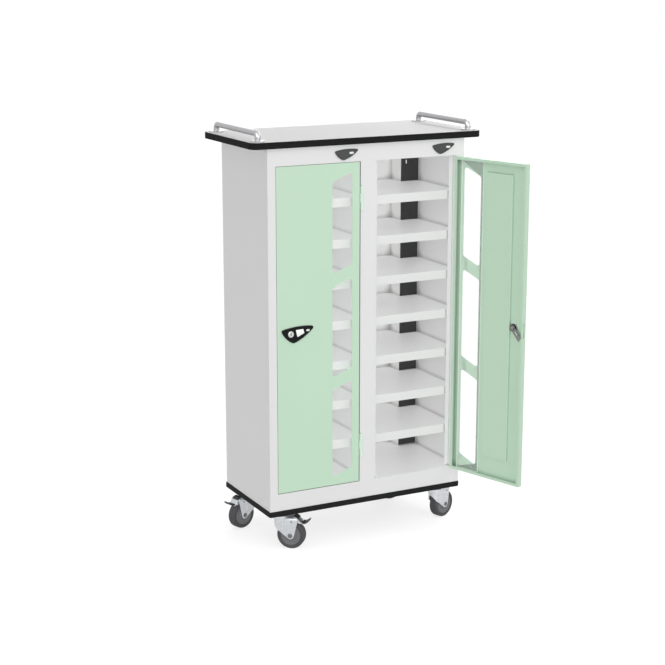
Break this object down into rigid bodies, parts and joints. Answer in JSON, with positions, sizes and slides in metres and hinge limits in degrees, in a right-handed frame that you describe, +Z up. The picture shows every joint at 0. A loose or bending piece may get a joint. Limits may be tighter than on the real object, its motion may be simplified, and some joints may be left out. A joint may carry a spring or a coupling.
{
  "type": "tablet charging trolley",
  "caption": "Steel tablet charging trolley: two side-by-side lockers with windowed doors, shelved bays and charging strips, under a worktop with hand rails, on swivel casters.",
  "frame": {"origin": "on the floor midway between the casters, at the seam between the two lockers and halfway from front to back of the lockers", "axes": "+Z up, -Y out of the front where the doors are, +X to the right of someone facing the front"},
  "size_m": [0.7153, 0.5753, 1.185],
  "materials": {
    "worktop_laminate": "light grey laminate on board, satin",
    "black_edge": "black edge banding",
    "rail_steel": "satin steel tube",
    "body_paint": "light grey powder coat, fine texture",
    "door_paint": "pale green powder coat, fine texture",
    "clear_plastic": "clear acrylic sheet",
    "black_plastic": "moulded black plastic, satin",
    "badge_plastic": "moulded dark grey plastic, satin",
    "lock_metal": "plated lock barrel",
    "zinc": "bright zinc plate",
    "hinge_paint": "pale green powder coat over steel",
    "base_black": "black faced board",
    "bumper": "black moulded bumper",
    "tyre": "grey non-marking rubber tread"
  },
  "bodies": {
    "cabinet": {"worktop_board": "worktop_laminate", "worktop_edge": "black_edge", "left_handrail": "rail_steel", "right_handrail": "rail_steel", "base_board": "base_black", "base_bumper": "bumper", "roof_panels": "body_paint", "floor_panels": "body_paint", "hinge_frame_leaves": "hinge_paint", "hinge_pins": "zinc", "fascia_badges": "badge_plastic", "caster_plates": "zinc", "caster_bolts": "zinc", "mains_inlet": "black_plastic", "left_cabinet_shell": "body_paint", "left_front_frame": "body_paint", "left_shelf_1": "body_paint", "left_shelf_2": "body_paint", "left_shelf_3": "body_paint", "left_shelf_4": "body_paint", "left_shelf_5": "body_paint", "left_shelf_6": "body_paint", "left_shelf_7": "body_paint", "left_charge_column": "body_paint", "left_charge_strip": "black_plastic", "right_cabinet_shell": "body_paint", "right_front_frame": "body_paint", "right_shelf_1": "body_paint", "right_shelf_2": "body_paint", "right_shelf_3": "body_paint", "right_shelf_4": "body_paint", "right_shelf_5": "body_paint", "right_shelf_6": "body_paint", "right_shelf_7": "body_paint", "right_charge_column": "body_paint", "right_charge_strip": "black_plastic"},
    "left_door": {"left_door": "door_paint", "left_window_pane": "clear_plastic", "left_door_stiffener": "door_paint", "left_hinge_door_leaves": "hinge_paint", "left_lock_housing": "black_plastic"},
    "left_lock": {"left_lock_barrel": "lock_metal", "left_lock_cam": "zinc"},
    "right_door": {"right_door": "door_paint", "right_window_pane": "clear_plastic", "right_door_stiffener": "door_paint", "right_hinge_door_leaves": "hinge_paint", "right_lock_housing": "black_plastic"},
    "right_lock": {"right_lock_barrel": "lock_metal", "right_lock_cam": "zinc"},
    "front_left_swivel": {"front_left_fork": "zinc"},
    "front_left_roller": {"front_left_wheel": "tyre"},
    "front_left_brake": {"front_left_brake_pedal": "zinc"},
    "back_left_swivel": {"back_left_fork": "zinc"},
    "back_left_roller": {"back_left_wheel": "tyre"},
    "back_left_brake": {"back_left_brake_pedal": "zinc"},
    "front_right_swivel": {"front_right_fork": "zinc"},
    "front_right_roller": {"front_right_wheel": "tyre"},
    "back_right_swivel": {"back_right_fork": "zinc"},
    "back_right_roller": {"back_right_wheel": "tyre"}
  },
  "joints": [
    {"name": "left_door_hinge", "type": "hinge", "parent": "cabinet", "child": "left_door", "pos_m": [-0.0214, -0.1561, 0.635], "axis": [0, 0, 1], "range_deg": [0, 110]},
    {"name": "left_lock_turn", "type": "hinge", "parent": "left_door", "child": "left_lock", "pos_m": [-0.2407, -0.1525, 0.628], "axis": [0, 1, 0], "range_deg": [-40, 50]},
    {"name": "right_door_hinge", "type": "hinge", "parent": "cabinet", "child": "right_door", "pos_m": [0.2836, -0.1561, 0.635], "axis": [0, 0, 1], "range_deg": [-108, 2]},
    {"name": "right_lock_turn", "type": "hinge", "parent": "right_door", "child": "right_lock", "pos_m": [0.34794, -0.36578, 0.628], "axis": [-0.9511, -0.309, 0], "range_deg": [-40, 50]},
    {"name": "front_left_swivel_turn", "type": "hinge", "parent": "cabinet", "child": "front_left_swivel", "pos_m": [-0.253, -0.1025, 0.0916], "axis": [0, 0, 1], "continuous": true},
    {"name": "front_left_wheel_spin", "type": "hinge", "parent": "front_left_swivel", "child": "front_left_roller", "pos_m": [-0.22699, -0.12592, 0.04], "axis": [0.6691, 0.7431, 0], "continuous": true},
    {"name": "front_left_brake_press", "type": "hinge", "parent": "front_left_swivel", "child": "front_left_brake", "pos_m": [-0.21584, -0.13596, 0.086], "axis": [0.6691, 0.7431, 0], "range_deg": [0, 18]},
    {"name": "back_left_swivel_turn", "type": "hinge", "parent": "cabinet", "child": "back_left_swivel", "pos_m": [-0.253, 0.1025, 0.0916], "axis": [0, 0, 1], "continuous": true},
    {"name": "back_left_wheel_spin", "type": "hinge", "parent": "back_left_swivel", "child": "back_left_roller", "pos_m": [-0.28629, 0.09168, 0.04], "axis": [0.309, -0.9511, 0], "continuous": true},
    {"name": "back_left_brake_press", "type": "hinge", "parent": "back_left_swivel", "child": "back_left_brake", "pos_m": [-0.30055, 0.08705, 0.086], "axis": [0.309, -0.9511, 0], "range_deg": [0, 18]},
    {"name": "front_right_swivel_turn", "type": "hinge", "parent": "cabinet", "child": "front_right_swivel", "pos_m": [0.253, -0.1025, 0.0916], "axis": [0, 0, 1], "continuous": true},
    {"name": "front_right_wheel_spin", "type": "hinge", "parent": "front_right_swivel", "child": "front_right_roller", "pos_m": [0.28589, -0.09053, 0.04], "axis": [-0.342, 0.9397, 0], "continuous": true},
    {"name": "back_right_swivel_turn", "type": "hinge", "parent": "cabinet", "child": "back_right_swivel", "pos_m": [0.253, 0.1025, 0.0916], "axis": [0, 0, 1], "continuous": true},
    {"name": "back_right_wheel_spin", "type": "hinge", "parent": "back_right_swivel", "child": "back_right_roller", "pos_m": [0.22269, 0.12, 0.04], "axis": [-0.5, -0.866, 0], "continuous": true}
  ]
}
